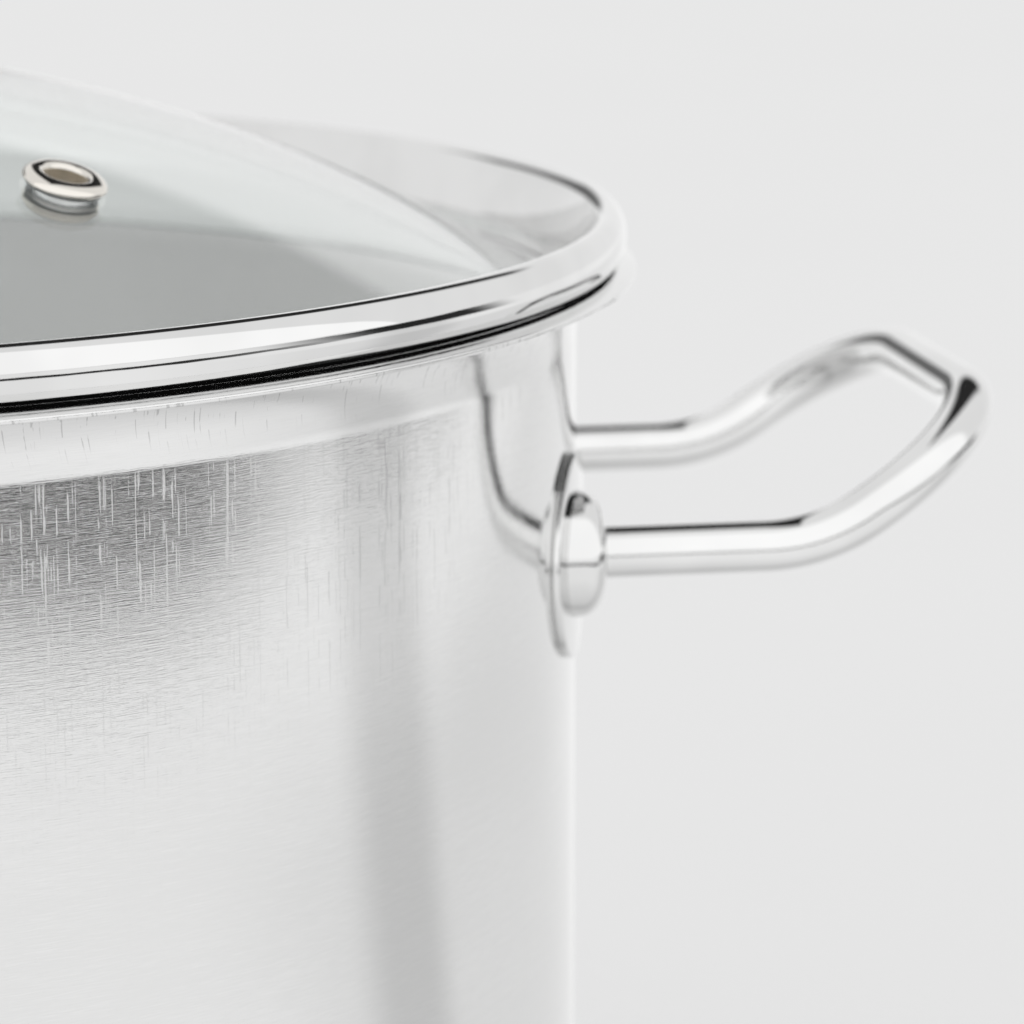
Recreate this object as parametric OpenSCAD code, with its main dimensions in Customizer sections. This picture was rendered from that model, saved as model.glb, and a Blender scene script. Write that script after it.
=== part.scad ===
// Stock pot with a domed glass lid and two bent-rod side handles.
// Millimetres, +Z up. The origin is the centre of the face that the pot stands on.
// The handles point along +X and -X, and the lid's vent lies towards +X and -Y.

/* [Pot] */
// Inside diameter of the straight wall
pot_inner_d = 280; // [220:10:340]
// Height of the rim above the standing face
pot_h = 240; // [160:10:320]
// Thickness of the pot's sheet steel
wall_t = 0.8; // [0.6:0.1:1.2]
// Outside radius between the wall and the bottom
corner_r = 14; // [10:1:20]

/* [Rim] */
// Radius of the flare that turns the wall outwards
flare_r = 14; // [12:0.5:16]
// Radius over the crest of the rim
crest_r = 3.2; // [2.8:0.1:3.6]
// How far the rim's edge stands out from the inside of the wall
rim_out = 10.2; // [9.5:0.1:12]
// Downward slope of the rim's edge, in degrees
rim_slope = 18; // [10:1:25]

/* [Base] */
// Thickness of the heat-spreading core
core_t = 5.9; // [4:0.1:9]
// Thickness of the steel cap under the core
cap_t = 0.6; // [0.4:0.1:1]
// How far the cap's side stands in from the flat part of the pot's bottom
cap_inset = 2.2; // [1:0.1:6]

/* [Handles] */
// Diameter of the handle rod
rod_d = 8; // [6:0.5:10]
// Distance between a handle's two legs
leg_spacing = 83; // [76:1:100]
// Depth of the legs below the rim
leg_drop = 43.1; // [36:0.1:70]
// Distance from the pot's outside to where a leg turns up
leg_reach = 33.6; // [28:0.1:45]
// Angle that the legs turn up, in degrees
bend_angle = 33.9; // [20:0.1:36]
// Radius of the upward bend, along the rod's centre
bend_r = 30; // [14:0.5:33]
// Length of the raised part, from the bend to the cross-piece
slope_len = 34.3; // [33.5:0.1:45]
// Radius of the two grip corners, along the rod's centre
grip_r = 23.9; // [12:0.1:24.5]
// Diameter of the domed collar around each leg
collar_d = 19.7; // [17:0.1:22]
// Height of a collar's face above its mounting plate, at the leg
collar_h = 3.3; // [3:0.1:6]
// Rounding of the collar's dome
collar_round = 3.4; // [2:0.1:3.8]
// Diameter of the mounting plate behind each collar
plate_d = 32.3; // [28:0.1:36]
// Thickness of the mounting plate
plate_t = 1.2; // [0.8:0.1:1.6]

/* [Lid glass] */
// Outside radius of the dome
dome_r = 269; // [240:1:400]
// Thickness of the glass
glass_t = 4; // [3.6:0.1:4.4]
// Depth of the glass's upper edge below the rim
glass_drop = 5.8; // [5.7:0.05:5.9]

/* [Lid band] */
// Thickness of the band's sheet steel
band_t = 0.4; // [0.3:0.05:0.4]
// Height of the bead that sits on the rim
bead_h = 8; // [7:0.5:10]
// Distance of the bead's crest inside the rim's crest
bead_inset = 1.1; // [1:0.05:1.2]
// Reach of the bead outside its crest
bead_out = 2.64; // [2.4:0.04:2.8]
// Radius of the bead's inner shoulder
shoulder_r = 2.2; // [1.8:0.1:2.4]

/* [Vent] */
// Distance of the vent from the lid's centre
vent_r = 87; // [60:1:90]
// Direction of the vent, in degrees from +X
vent_angle = -49; // [-80:1:80]
// Diameter of the eyelet's flange
eyelet_d = 12.4; // [12:0.1:14]
// Diameter of the steam hole
steam_d = 6.2; // [4:0.1:6.6]

/* [Knob] */
// Diameter of the knob's head
knob_d = 42; // [34:1:50]
// Height of the knob above its base plate
knob_h = 30; // [26:1:36]
// Diameter of the knob's waist
knob_waist_d = 13; // [11:0.5:16]
// Diameter of the knob's base plate
knob_plate_d = 38; // [30:1:44]
// Diameter of the knob's screw
screw_d = 5; // [4:0.5:6]

/* [Hidden] */
$fn = 180;

// Clearance left between pieces that touch, and where they are welded
fit = 0.02;
seat_gap = 0.05;

// Pot
inner_r = pot_inner_d / 2;
outer_r = inner_r + wall_t;
base_h = cap_t + core_t;
flare_angle = 50;
crest_c = [inner_r + flare_r - (flare_r - crest_r) * cos(flare_angle), pot_h - crest_r];
flare_c = [inner_r + flare_r, crest_c[1] - (flare_r - crest_r) * sin(flare_angle)];
cap_r = outer_r - corner_r - cap_inset;
cap_corner_r = 3;

// Handles
rod_r = rod_d / 2;
leg_y = leg_spacing / 2;
leg_z = pot_h - leg_drop;
bend_x = outer_r + leg_reach;
bend_tangent = bend_r * tan(bend_angle / 2);
plate_in_r = outer_r + fit;
plate_out_r = plate_in_r + plate_t;
plate_turn = asin(leg_y / plate_out_r);
collar_r = collar_d / 2;
collar_face_x = plate_out_r * cos(plate_turn) + collar_h;
collar_back_x = plate_out_r * cos(plate_turn) - collar_r;

// Lid glass
glass_edge_r = inner_r - 1.5;
glass_edge_z = pot_h - glass_drop;
dome_cz = glass_edge_z - sqrt(dome_r * dome_r - glass_edge_r * glass_edge_r);
apex_z = dome_cz + dome_r;
dome_depth = apex_z - glass_edge_z + 3 * glass_t;

// Lid band and seal
bead_c = [crest_c[0] - bead_inset, pot_h + seat_gap + bead_h / 2];
drop_angle = 24;
channel_r = inner_r - 0.65;
seal_t = 0.44;
seal_r = (glass_edge_r + channel_r - band_t / 2) / 2;

// Vent
vent_tilt = asin(vent_r / dome_r);
barrel_r = steam_d / 2 + 0.65;
grommet_in_r = barrel_r + seat_gap;
vent_hole_r = grommet_in_r + 0.45;
grommet_lip_t = 0.5;
vent_washer_t = 0.6;
dish_gap = 0.12;

// Knob
gasket_t = 1.2;
knob_plate_t = 1;
knob_z = apex_z + gasket_t + knob_plate_t + 3 * seat_gap;
knob_hole_r = screw_d / 2 + 1.5;
washer_t = 1.2;
washer_top = apex_z - glass_t - gasket_t - 0.25;
washer_r = 9.5;
screw_head_r = 4.8;
screw_head_h = 2.8;

// A vector scaled to a length of one
function unit(v) = v / norm(v);

// A vector turned anticlockwise by an angle
function turned(v, a) = [v[0] * cos(a) - v[1] * sin(a), v[0] * sin(a) + v[1] * cos(a)];

// Points on an arc about c, from angle a0 to angle a1
function arc(c, r, a0, a1, n, first = 0) =
    [for (i = [first:n]) c + turned([r, 0], a0 + (a1 - a0) * i / n)];

// Points that round the corner at b, on the way from a to c
function rounded(a, b, c, r, n = 6) =
    let (
        u = unit(a - b),
        v = unit(c - b),
        half = acos(u * v) / 2,
        centre = b + unit(u + v) * r / sin(half),
        start = b + u * r / tan(half) - centre,
        swing = sign(cross(start, b - centre)) * (180 - 2 * half)
    )
    [for (i = [0:n]) centre + turned(start, swing * i / n)];

// The tangent of a path at point i
function heading(path, i) =
    unit(
        (i == 0 ? [0, 0] : unit(path[i] - path[i - 1]))
        + (i == len(path) - 1 ? [0, 0] : unit(path[i + 1] - path[i]))
    );

// A path moved sideways by h, with mitred corners
function beside(path, h) =
    [for (i = [0:len(path) - 1])
        let (
            along = heading(path, i),
            across = turned(along, 90),
            leg = i == 0 ? path[1] - path[0] : path[i] - path[i - 1]
        )
        path[i] + across * h / (along * unit(leg))];

function backwards(list) = [for (i = [len(list) - 1:-1:0]) list[i]];

// Height of a sphere that lies off above the dome, at distance r from the axis
function dome_z(r, off) = dome_cz + sqrt(pow(dome_r + off, 2) - r * r);

// A point on the bead's middle line: t falls from 90 at its crest to -90 at its foot
function bead(t) = bead_c + [cos(t) * (bead_out - band_t / 2), sin(t) * (bead_h - band_t) / 2];

// A turned sheet of thickness t, centred on a path of [radius, height] points
module turned_sheet(path, t) {
    rotate_extrude()
        polygon(concat(beside(path, t / 2), backwards(beside(path, -t / 2))));
}

// A dished disc between two spheres that share the dome's centre
module dished_disc(r, hole_r, low, high) {
    difference() {
        intersection() {
            translate([0, 0, dome_cz])
                sphere(r = dome_r + high);
            translate([0, 0, apex_z - dome_depth])
                cylinder(r = r, h = 2 * dome_depth);
        }
        translate([0, 0, dome_cz])
            sphere(r = dome_r + low);
        translate([0, 0, apex_z - 2 * dome_depth])
            cylinder(r = hole_r, h = 4 * dome_depth);
    }
}

// Places its children on the dome at the vent, with +Z out of the glass
module at_vent() {
    translate([0, 0, dome_cz])
        rotate([0, vent_tilt, vent_angle])
            translate([0, 0, dome_r])
                children();
}

// The drawn pot: bottom, corner, wall, flare and turned-out rim
module pot_shell() {
    mid_r = inner_r + wall_t / 2;
    mid_z = base_h + fit + wall_t / 2;
    corner = corner_r - wall_t / 2;
    crest_end = arc(crest_c, crest_r - wall_t / 2, 90 - rim_slope, 90, 1)[0];
    edge_r = inner_r + rim_out - wall_t / 2 * sin(rim_slope);
    edge = [edge_r, crest_end[1] - (edge_r - crest_end[0]) * tan(rim_slope)];
    color("gainsboro")
        turned_sheet(concat(
            [[0, mid_z]],
            arc([mid_r - corner, mid_z + corner], corner, -90, 0, 10),
            arc(flare_c, flare_r - wall_t / 2, 180, 180 - flare_angle, 10),
            arc(crest_c, crest_r - wall_t / 2, 180 - flare_angle, 90 - rim_slope, 8, 1),
            [edge]
        ), wall_t);
}

// The heat-spreading disc inside the base
module base_core() {
    r = cap_r - fit;
    low = cap_t + fit;
    corner = cap_corner_r - cap_t;
    color("lightgray")
        rotate_extrude()
            polygon(concat(
                [[0, low]],
                arc([r - corner, low + corner], corner, -90, 0, 6),
                [[r, base_h - fit], [0, base_h - fit]]
            ));
}

// The steel dish that closes the base and stands on the hob
module base_cap() {
    mid_r = cap_r + cap_t / 2;
    corner = cap_corner_r - cap_t / 2;
    color("silver")
        turned_sheet(concat(
            [[0, cap_t / 2]],
            arc([mid_r - corner, cap_t / 2 + corner], corner, -90, 0, 6),
            [[mid_r, base_h]]
        ), cap_t);
}

// One side's rod: two legs, two upward bends, and the raised grip loop. The bends are
// a hair thinner than the straight lengths, which reach a little way into them.
module handle_bar() {
    loop_x = slope_len - grip_r;
    cross_y = leg_y - grip_r;
    reach_in = 0.5;
    leg_len = bend_x - bend_tangent + reach_in - collar_back_x;
    difference() {
        union() {
            for (y = [-leg_y, leg_y]) {
                translate([collar_back_x, y, leg_z])
                    rotate([0, 90, 0])
                        cylinder(r = rod_r, h = leg_len);
                translate([bend_x - bend_tangent, y, leg_z + bend_r])
                    rotate([90, 90, 0])
                        rotate_extrude(angle = bend_angle)
                            translate([bend_r, 0])
                                circle(r = rod_r - 0.01);
            }
            translate([bend_x, 0, leg_z])
                rotate([0, -bend_angle, 0]) {
                    for (y = [-leg_y, leg_y])
                        translate([bend_tangent - reach_in, y, 0])
                            rotate([0, 90, 0])
                                cylinder(r = rod_r, h = loop_x - bend_tangent + reach_in);
                    for (side = [0, 1])
                        mirror([0, side, 0])
                            translate([loop_x, cross_y, 0])
                                rotate_extrude(angle = 90)
                                    translate([grip_r, 0])
                                        circle(r = rod_r);
                    translate([slope_len, -cross_y, 0])
                        rotate([-90, 0, 0])
                            cylinder(r = rod_r, h = 2 * cross_y);
                }
        }
        translate([0, 0, leg_z - rod_d])
            cylinder(r = plate_out_r + fit, h = 2 * rod_d);
    }
}

// The domed collar around one leg, cut to sit on its mounting plate
module handle_collar(side) {
    face = collar_face_x - collar_back_x;
    difference() {
        translate([collar_back_x, side * leg_y, leg_z])
            rotate([0, 90, 0])
                rotate_extrude()
                    polygon(concat(
                        [[rod_r + fit, 0], [collar_r, 0]],
                        arc([collar_r - collar_round, face - collar_round], collar_round, 0, 90, 8),
                        [[rod_r + fit, face]]
                    ));
        translate([0, 0, leg_z - collar_d])
            cylinder(r = plate_out_r + fit, h = 2 * collar_d);
    }
}

// The round mounting plate, bent to the wall, behind one leg
module handle_plate(side) {
    intersection() {
        rotate([0, 0, side * plate_turn])
            translate([outer_r - 20, 0, leg_z])
                rotate([0, 90, 0])
                    cylinder(r = plate_d / 2, h = 40);
        translate([0, 0, leg_z - plate_d])
            difference() {
                cylinder(r = plate_out_r, h = 2 * plate_d);
                translate([0, 0, -1])
                    cylinder(r = plate_in_r, h = 2 * plate_d + 2);
            }
    }
}

module right_handle_bar() {
    color("whitesmoke")
        handle_bar();
}

module right_handle_front_collar() {
    color("whitesmoke")
        handle_collar(-1);
}

module right_handle_rear_collar() {
    color("whitesmoke")
        handle_collar(1);
}

module right_handle_front_plate() {
    color("silver")
        handle_plate(-1);
}

module right_handle_rear_plate() {
    color("silver")
        handle_plate(1);
}

module left_handle_bar() {
    mirror([1, 0, 0])
        right_handle_bar();
}

module left_handle_front_collar() {
    mirror([1, 0, 0])
        right_handle_front_collar();
}

module left_handle_rear_collar() {
    mirror([1, 0, 0])
        right_handle_rear_collar();
}

module left_handle_front_plate() {
    mirror([1, 0, 0])
        right_handle_front_plate();
}

module left_handle_rear_plate() {
    mirror([1, 0, 0])
        right_handle_rear_plate();
}

// The dome, with a screw hole at its centre and a vent hole
module lid_glass() {
    color([0.8, 0.88, 0.86, 0.35])
        difference() {
            dished_disc(glass_edge_r, knob_hole_r, -glass_t, 0);
            at_vent()
                translate([0, 0, -2 * glass_t])
                    cylinder(r = vent_hole_r, h = 4 * glass_t);
        }
}

// The strip folded round the glass's edge: upper lip, inner wall, bead on the
// rim, outer leg down the mouth of the pot, and lower lip
module lid_rim_band() {
    lip_in_r = inner_r - 3.4;
    lip_out_r = inner_r - 1.4;
    lip_off = seat_gap + band_t / 2;
    fold_in = [inner_r - 0.1, pot_h - 5.6];
    fold_out = [inner_r + 0.5, pot_h - 5.2];
    wall_low = [inner_r + 0.75, pot_h - 4.58];
    shoulder = arc(bead(90) - [0, shoulder_r - band_t / 2], shoulder_r - band_t / 2, 160, 90, 4);
    wall_rise = shoulder[0] - wall_low;
    wall_lean = 1.5;
    wall_steps = 6;
    inner_wall = [for (i = [0:wall_steps - 1])
        let (up = i / wall_steps)
        wall_low + [wall_rise[0] * pow(up, wall_lean), wall_rise[1] * up]];
    bead_path = [for (t = [78.75:-11.25:-90]) bead(t)];
    crest_gap = 0.1;
    flare_gap = 0.25;
    seat = arc(crest_c, crest_r + crest_gap + band_t / 2, 114, 130, 3);
    outer_leg = arc(flare_c, flare_r + flare_gap + band_t / 2, 134, 180 - drop_angle, 4);
    leg_top = [channel_r, pot_h - 8.9];
    under_off = -glass_t - seal_t - 0.11 - band_t / 2;
    under_in_r = inner_r - 5;
    under_bend_r = 0.6;
    leg_bottom = [channel_r, dome_z(channel_r, under_off)];
    under_end = [under_in_r, dome_z(under_in_r, under_off)];
    color("whitesmoke")
        turned_sheet(concat(
            [for (r = [lip_in_r, (lip_in_r + lip_out_r) / 2, lip_out_r]) [r, dome_z(r, lip_off)]],
            [fold_in, fold_out],
            inner_wall,
            shoulder,
            bead_path,
            seat,
            outer_leg,
            [leg_top],
            rounded(leg_top, leg_bottom, under_end, under_bend_r),
            [under_end]
        ), band_t);
}

// The strip between the glass's edge and the band
module lid_rim_seal() {
    off = -glass_t - 0.06 - seal_t / 2;
    inner_end_r = inner_r - 4.6;
    bend_in_r = 0.28;
    inner_end = [inner_end_r, dome_z(inner_end_r, off)];
    foot = [seal_r, dome_z(seal_r, off)];
    top = [seal_r, pot_h - 8];
    color("dimgray")
        turned_sheet(concat([inner_end], rounded(inner_end, foot, top, bend_in_r), [top]), seal_t);
}

// The vent's rounded flange and barrel, spread under the washer below the glass
module vent_eyelet() {
    hole_r = steam_d / 2;
    flange_r = eyelet_d / 2;
    flange_t = 1.6;
    crown_h = 1.4;
    mouth_round = 1;
    crest_r = hole_r + mouth_round;
    low = grommet_lip_t + 2 * seat_gap;
    top = low + flange_t;
    spread_t = 0.7;
    spread_r = hole_r + 1.9;
    spread_bevel = 0.4;
    spread_top = -glass_t - dish_gap - grommet_lip_t - vent_washer_t - 2 * seat_gap;
    crown = [for (t = [0:12:84])
        [crest_r + (flange_r - crest_r) * cos(t), top - crown_h * (1 - sin(t))]];
    color("silver")
        at_vent()
            rotate_extrude()
                polygon(concat(
                    [[hole_r, spread_top - spread_t], [spread_r - spread_bevel, spread_top - spread_t]],
                    [[spread_r, spread_top - 0.1], [spread_r - 0.3, spread_top], [barrel_r, spread_top]],
                    [[barrel_r, low], [flange_r - 0.2, low]],
                    crown,
                    arc([crest_r, top - mouth_round], mouth_round, 90, 180, 6)
                ));
}

// The soft ring that keeps the vent's metal off the glass
module vent_grommet() {
    rim_r = eyelet_d / 2 - 0.6;
    under = -glass_t - dish_gap;
    color("dimgray")
        at_vent()
            rotate_extrude()
                polygon([
                    [grommet_in_r, under - grommet_lip_t],
                    [rim_r - 0.4, under - grommet_lip_t],
                    [rim_r - 0.4, under],
                    [vent_hole_r - seat_gap, under],
                    [vent_hole_r - seat_gap, seat_gap],
                    [rim_r, seat_gap],
                    [rim_r, seat_gap + grommet_lip_t],
                    [grommet_in_r, seat_gap + grommet_lip_t]
                ]);
}

// The steel washer under the vent's grommet
module vent_washer() {
    top = -glass_t - dish_gap - grommet_lip_t - seat_gap;
    color("silver")
        at_vent()
            translate([0, 0, top - vent_washer_t])
                difference() {
                    cylinder(r = eyelet_d / 2 - 0.7, h = vent_washer_t);
                    translate([0, 0, -1])
                        cylinder(r = grommet_in_r, h = vent_washer_t + 2);
                }
}

// The turned knob: foot, waist, and a domed head with a rounded edge
module knob() {
    foot_r = 11;
    foot_t = 1.6;
    waist_r = knob_waist_d / 2;
    head_r = knob_d / 2;
    head_edge = 2.5;
    head_z = knob_z + knob_h - 8;
    crown_r = 70;
    crown_cz = knob_z + knob_h - crown_r;
    crown_edge = asin((head_r - head_edge) / crown_r);
    throat_r = (head_z - knob_z - foot_t) / 2;
    bore_r = screw_d / 2;
    bore_z = knob_z + 16;
    color("whitesmoke")
        rotate_extrude()
            polygon(concat(
                [[bore_r, knob_z], [foot_r, knob_z], [foot_r, knob_z + foot_t]],
                arc([waist_r + throat_r, knob_z + foot_t + throat_r], throat_r, 242, 118, 12),
                arc([head_r - head_edge, head_z + head_edge], head_edge, -80, 74, 8),
                arc([0, crown_cz], crown_r, 90 - crown_edge, 90, 6),
                [[0, bore_z], [bore_r, bore_z]]
            ));
}

// The dished plate that spreads the knob's load
module knob_base_plate() {
    low = gasket_t + seat_gap;
    color("silver")
        dished_disc(knob_plate_d / 2, screw_d / 2 + 0.3, low, low + knob_plate_t);
}

// The soft ring between the base plate and the glass
module knob_upper_gasket() {
    color("dimgray")
        dished_disc(knob_plate_d / 2 - 1.5, screw_d / 2 + 0.5, seat_gap / 2, gasket_t);
}

// The soft ring under the glass
module knob_lower_gasket() {
    color("dimgray")
        dished_disc(washer_r + 1.5, screw_d / 2 + 0.5, -glass_t - gasket_t, -glass_t - seat_gap / 2);
}

// The steel washer under the lower gasket
module knob_washer() {
    color("silver")
        translate([0, 0, washer_top - washer_t])
            difference() {
                cylinder(r = washer_r, h = washer_t);
                translate([0, 0, -1])
                    cylinder(r = screw_d / 2 + 0.2, h = washer_t + 2);
            }
}

// The screw that draws the knob down on the glass, with a hexagon socket
module knob_screw() {
    head_top = washer_top - washer_t - fit;
    socket_d = 3.5;
    color("silver")
        difference() {
            union() {
                translate([0, 0, head_top - screw_head_h])
                    cylinder(r = screw_head_r, h = screw_head_h);
                translate([0, 0, head_top - 0.5])
                    cylinder(r = screw_d / 2 - fit, h = knob_z + 14 - head_top + 0.5);
            }
            translate([0, 0, head_top - screw_head_h - 1])
                cylinder(d = socket_d, h = 3, $fn = 6);
        }
}

pot_shell();
base_core();
base_cap();
right_handle_bar();
right_handle_front_collar();
right_handle_rear_collar();
right_handle_front_plate();
right_handle_rear_plate();
left_handle_bar();
left_handle_front_collar();
left_handle_rear_collar();
left_handle_front_plate();
left_handle_rear_plate();
lid_glass();
lid_rim_band();
lid_rim_seal();
vent_eyelet();
vent_grommet();
vent_washer();
knob();
knob_base_plate();
knob_upper_gasket();
knob_lower_gasket();
knob_washer();
knob_screw();
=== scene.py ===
import math

import bmesh
import bpy
from mathutils import Matrix, Vector


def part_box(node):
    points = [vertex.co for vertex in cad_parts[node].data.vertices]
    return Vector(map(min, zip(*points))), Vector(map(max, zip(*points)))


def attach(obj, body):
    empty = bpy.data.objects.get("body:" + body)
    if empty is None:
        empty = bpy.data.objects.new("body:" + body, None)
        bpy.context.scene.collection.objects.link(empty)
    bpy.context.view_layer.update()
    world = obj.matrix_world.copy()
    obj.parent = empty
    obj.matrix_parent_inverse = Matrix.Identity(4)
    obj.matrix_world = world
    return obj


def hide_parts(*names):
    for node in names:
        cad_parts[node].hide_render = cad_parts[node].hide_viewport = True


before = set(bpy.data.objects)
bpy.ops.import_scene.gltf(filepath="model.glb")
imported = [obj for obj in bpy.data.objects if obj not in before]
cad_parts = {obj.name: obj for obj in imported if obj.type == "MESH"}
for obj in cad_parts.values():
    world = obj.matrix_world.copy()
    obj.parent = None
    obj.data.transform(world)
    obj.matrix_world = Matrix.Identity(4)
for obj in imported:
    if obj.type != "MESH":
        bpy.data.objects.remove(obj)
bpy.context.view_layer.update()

# Looks for the stock pot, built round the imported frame. Lengths are in metres, angles in degrees.
MM = 0.001

# ---------------------------------------------------------------- sizes
SHELL_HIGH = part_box("pot_shell")[1]
CAP_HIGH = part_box("base_cap")[1]
BAR_LOW, BAR_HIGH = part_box("right_handle_bar")
COLLAR_LOW, COLLAR_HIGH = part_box("right_handle_front_collar")
PLATE_LOW, PLATE_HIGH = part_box("right_handle_front_plate")
GLASS_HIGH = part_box("lid_glass")[1]
KNOB_LOW, KNOB_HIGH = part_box("knob")
KNOB_PLATE_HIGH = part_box("knob_base_plate")[1]

# Gaps between joined pieces, and between pieces that rest on each other
FIT = 0.02 * MM
SEAT_GAP = 0.05 * MM

# Pot wall and rim
WALL_T = 0.8 * MM
WALL_SOFT = 0.3 * MM
CORNER_R = 14 * MM
RIM_OUT = 10.2 * MM
FLARE_R = 14 * MM
CREST_R = 3.2 * MM
FLARE_ANGLE = 50
RIM_SLOPE = 18
RIM_Z = SHELL_HIGH.z
INNER_R = SHELL_HIGH.x - RIM_OUT
OUTER_R = INNER_R + WALL_T
CREST_TO_FLARE = FLARE_R - CREST_R
CREST_TO_FLARE_R = CREST_TO_FLARE * math.cos(math.radians(FLARE_ANGLE))
CREST_TO_FLARE_Z = CREST_TO_FLARE * math.sin(math.radians(FLARE_ANGLE))
CREST_C = (INNER_R + FLARE_R - CREST_TO_FLARE_R, RIM_Z - CREST_R)
FLARE_C = (INNER_R + FLARE_R, CREST_C[1] - CREST_TO_FLARE_Z)

# Base cap
CAP_T = 0.6 * MM
CAP_SOFT = 0.15 * MM
CAP_CORNER_R = 3 * MM
BASE_H = CAP_HIGH.z
CAP_OUT_R = CAP_HIGH.x

# Handles
ROD_R = 4 * MM
BEND_ANGLE = 33.9
BEND_R = 30 * MM
SLOPE_LEN = 34.3 * MM
GRIP_R = 23.9 * MM
LEG_Y = BAR_HIGH.y - ROD_R
LEG_Z = BAR_LOW.z + ROD_R
BEND_X = BAR_HIGH.x - ROD_R - SLOPE_LEN * math.cos(math.radians(BEND_ANGLE))
COLLAR_R = (COLLAR_HIGH.z - COLLAR_LOW.z) / 2
COLLAR_ROUND = 3.4 * MM
COLLAR_FACE_X = COLLAR_HIGH.x
PLATE_T = 1.2 * MM
PLATE_SOFT = 0.35 * MM
PLATE_R = (PLATE_HIGH.z - PLATE_LOW.z) / 2
PLATE_IN_R = OUTER_R + FIT
PLATE_OUT_R = PLATE_IN_R + PLATE_T
PLATE_TURN = math.asin(LEG_Y / PLATE_OUT_R)

# Lid glass
DOME_R = 269 * MM
GLASS_T = 4 * MM
GLASS_SOFT = 0.6 * MM
KNOB_HOLE_R = 4 * MM
GLASS_EDGE_R = GLASS_HIGH.x
DOME_CZ = GLASS_HIGH.z - math.sqrt(DOME_R ** 2 - KNOB_HOLE_R ** 2)

# Lid band, from its lip on the glass, over the bead on the rim, to its foot under the seal
BAND_T = 0.4 * MM
BAND_SOFT = 0.15 * MM
LIP_REACH = 3.4 * MM
LIP_LEN = 2 * MM
BEAD_H = 8 * MM
BEAD_OUT = 2.64 * MM
BEAD_INSET = 1.1 * MM
SHOULDER_R = 2.2 * MM
BEAD_C = (CREST_C[0] - BEAD_INSET, RIM_Z + SEAT_GAP + BEAD_H / 2)
SEAT_OFF = 0.1 * MM
LEG_OFF = 0.25 * MM
CHANNEL_R = INNER_R - 0.65 * MM
FOOT_REACH = 5 * MM
SEAL_T = 0.44 * MM
SEAL_GAPS = 0.11 * MM

# Vent. The dish gap is the room that a flat washer needs under the curved glass
VENT_R = 87 * MM
DISH_GAP = 0.12 * MM
VENT_ANGLE = -49
VENT_TILT = math.degrees(math.asin(VENT_R / DOME_R))
EYELET_R = 6.2 * MM
STEAM_R = 3.1 * MM
VENT_HOLE_R = 4.25 * MM
GROMMET_LIP = 0.5 * MM
FLANGE_T = 1.6 * MM
FLANGE_CROWN = 1.4 * MM
MOUTH_ROUND = 1 * MM
WASHER_T = 0.6 * MM
SPREAD_T = 0.7 * MM
SPREAD_OUT = 1.9 * MM
BARREL_T = 0.65 * MM

# Knob and its base plate
KNOB_FOOT_R = 11 * MM
KNOB_FOOT_T = 1.6 * MM
KNOB_FOOT_SOFT = 0.4 * MM
KNOB_WAIST_R = 6.5 * MM
KNOB_EDGE_R = 2.5 * MM
KNOB_HEAD_H = 8 * MM
KNOB_CROWN_R = 70 * MM
KNOB_BORE_R = 2.5 * MM
KNOB_BORE_DEPTH = 16 * MM
KNOB_PLATE_OFF = 1.25 * MM
KNOB_PLATE_T = 1 * MM
KNOB_PLATE_SOFT = 0.4 * MM

# Faces round a turned shape
AROUND = 360


# ---------------------------------------------------------------- profiles
def arc(centre, r, start, end, n, first=0):
    """Points on an arc, from the angle start to the angle end."""
    turns = [math.radians(start + (end - start) * i / n) for i in range(first, n + 1)]
    return [(centre[0] + r * math.cos(a), centre[1] + r * math.sin(a)) for a in turns]


def beside(path, h):
    """A path moved sideways by h, with mitred corners."""
    points = [Vector(p) for p in path]
    moved = []
    for i, p in enumerate(points):
        before = (p - points[i - 1]).normalized() if i else None
        after = (points[i + 1] - p).normalized() if i + 1 < len(points) else None
        along = ((before or after) + (after or before)).normalized()
        leg = before or after
        moved.append(p + Vector((-along.y, along.x)) * h / max(along.dot(leg), 0.3))
    return [tuple(p) for p in moved]


def end_cap(path, t, soft, steps=4):
    """The rounded end of a sheet of thickness t, from its left side to its right side."""
    a, b = Vector(path[-2]), Vector(path[-1])
    along = (b - a).normalized()
    left = Vector((-along.y, along.x))
    points = []
    for side, start in ((1, 90), (-1, 0)):
        centre = b - along * soft + left * side * (t / 2 - soft)
        for i in range(steps + 1):
            turn = math.radians(start - 90 * i / steps)
            points.append(tuple(centre + (along * math.cos(turn) + left * math.sin(turn)) * soft))
    return points


def sheet(path, t, soft_start=None, soft_end=None):
    """The closed outline of a sheet of thickness t centred on a path. Ends are rounded by soft_*."""
    left, right = beside(path, t / 2), beside(path, -t / 2)
    loop = left[:-1] + end_cap(path, t, soft_end) + right[-2::-1] if soft_end else left + right[::-1]
    if soft_start:
        back = end_cap(path[::-1], t, soft_start)
        loop = loop[1:-1] + back
    return loop


def filleted(points, r, steps=5):
    """A path with its inner corners rounded by r, or by less where a leg is short."""
    out = [points[0]]
    for before, corner, after in zip(points, points[1:], points[2:]):
        b, c, a = Vector(before), Vector(corner), Vector(after)
        u, v = (b - c), (a - c)
        reach = min(r, u.length * 0.45, v.length * 0.45)
        start, end = c + u.normalized() * reach, c + v.normalized() * reach
        for i in range(steps + 1):
            s = i / steps
            out.append(tuple(start * (1 - s) ** 2 + c * 2 * s * (1 - s) + end * s * s))
    return out + [points[-1]]


def dome_z(r, off):
    """Height at radius r of a sphere that lies off above the glass."""
    return DOME_CZ + math.sqrt((DOME_R + off) ** 2 - r * r)


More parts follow.
